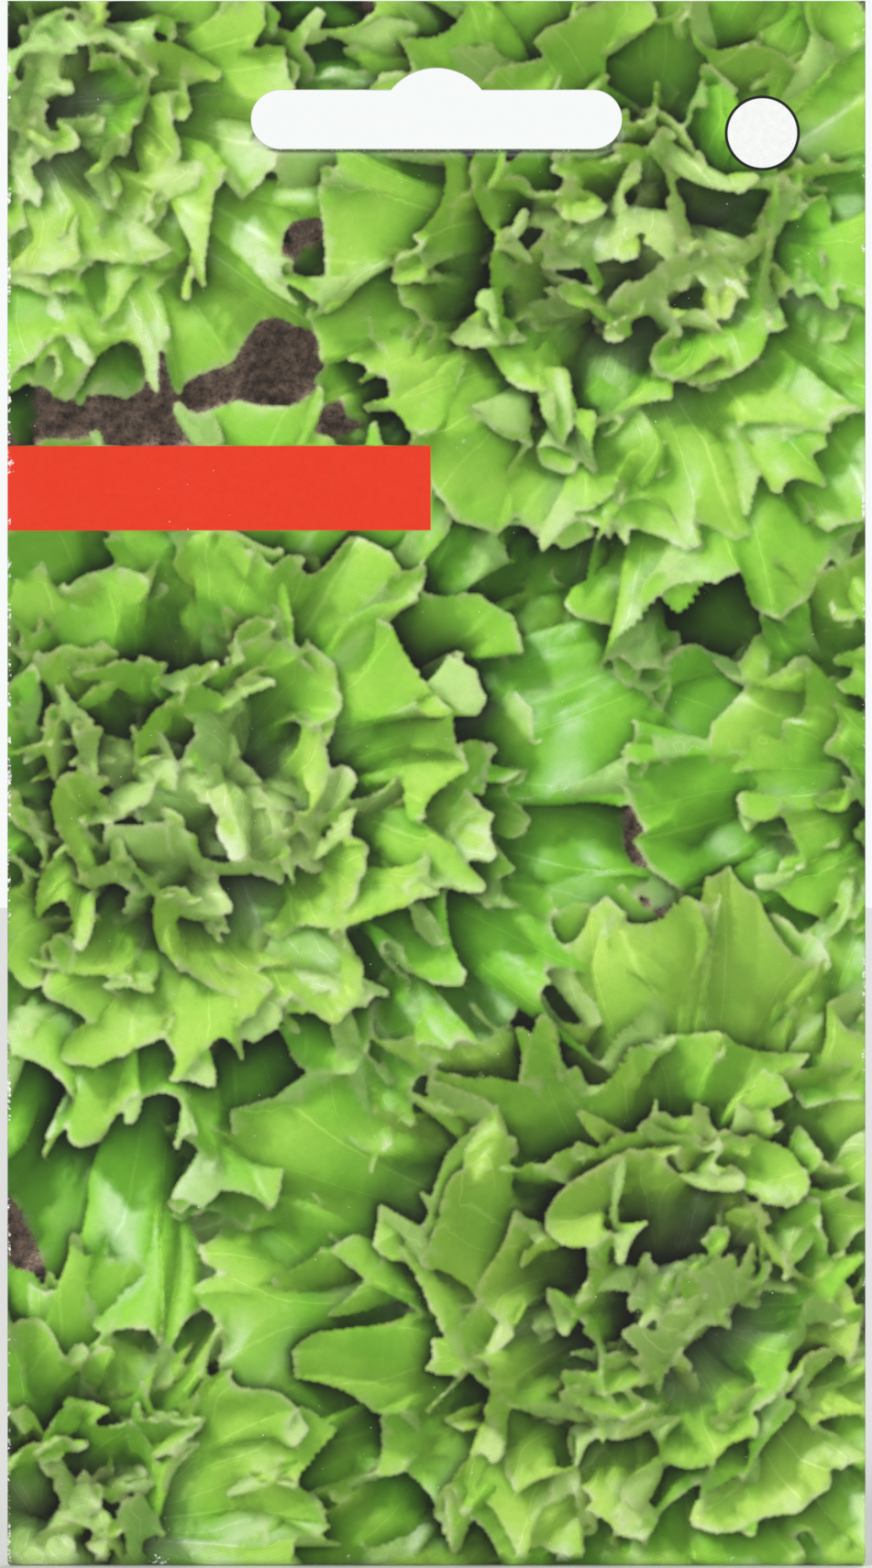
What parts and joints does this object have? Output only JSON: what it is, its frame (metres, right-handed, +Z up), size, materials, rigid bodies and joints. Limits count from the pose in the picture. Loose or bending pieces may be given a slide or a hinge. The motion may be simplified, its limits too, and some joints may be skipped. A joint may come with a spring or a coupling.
{
  "type": "seed packet",
  "caption": "Folded-paper seed packet with a hang slot in its flat header, a softly swollen pocket, a lapped back seam and a turned-up bottom flap, holding loose lettuce seeds.",
  "frame": {"origin": "middle of the hang slot, half way through the flat header", "axes": "+Z up as the packet hangs, +X to the right seen from the front, -Y out of the printed front, +Y out of the back"},
  "size_m": [0.074, 0.0045, 0.135],
  "materials": {
    "printed_paper": "coated, printed, semi-gloss",
    "seed_coat": "matt"
  },
  "bodies": {
    "root": {"envelope": "printed_paper", "seeds": "seed_coat"}
  },
  "joints": []
}
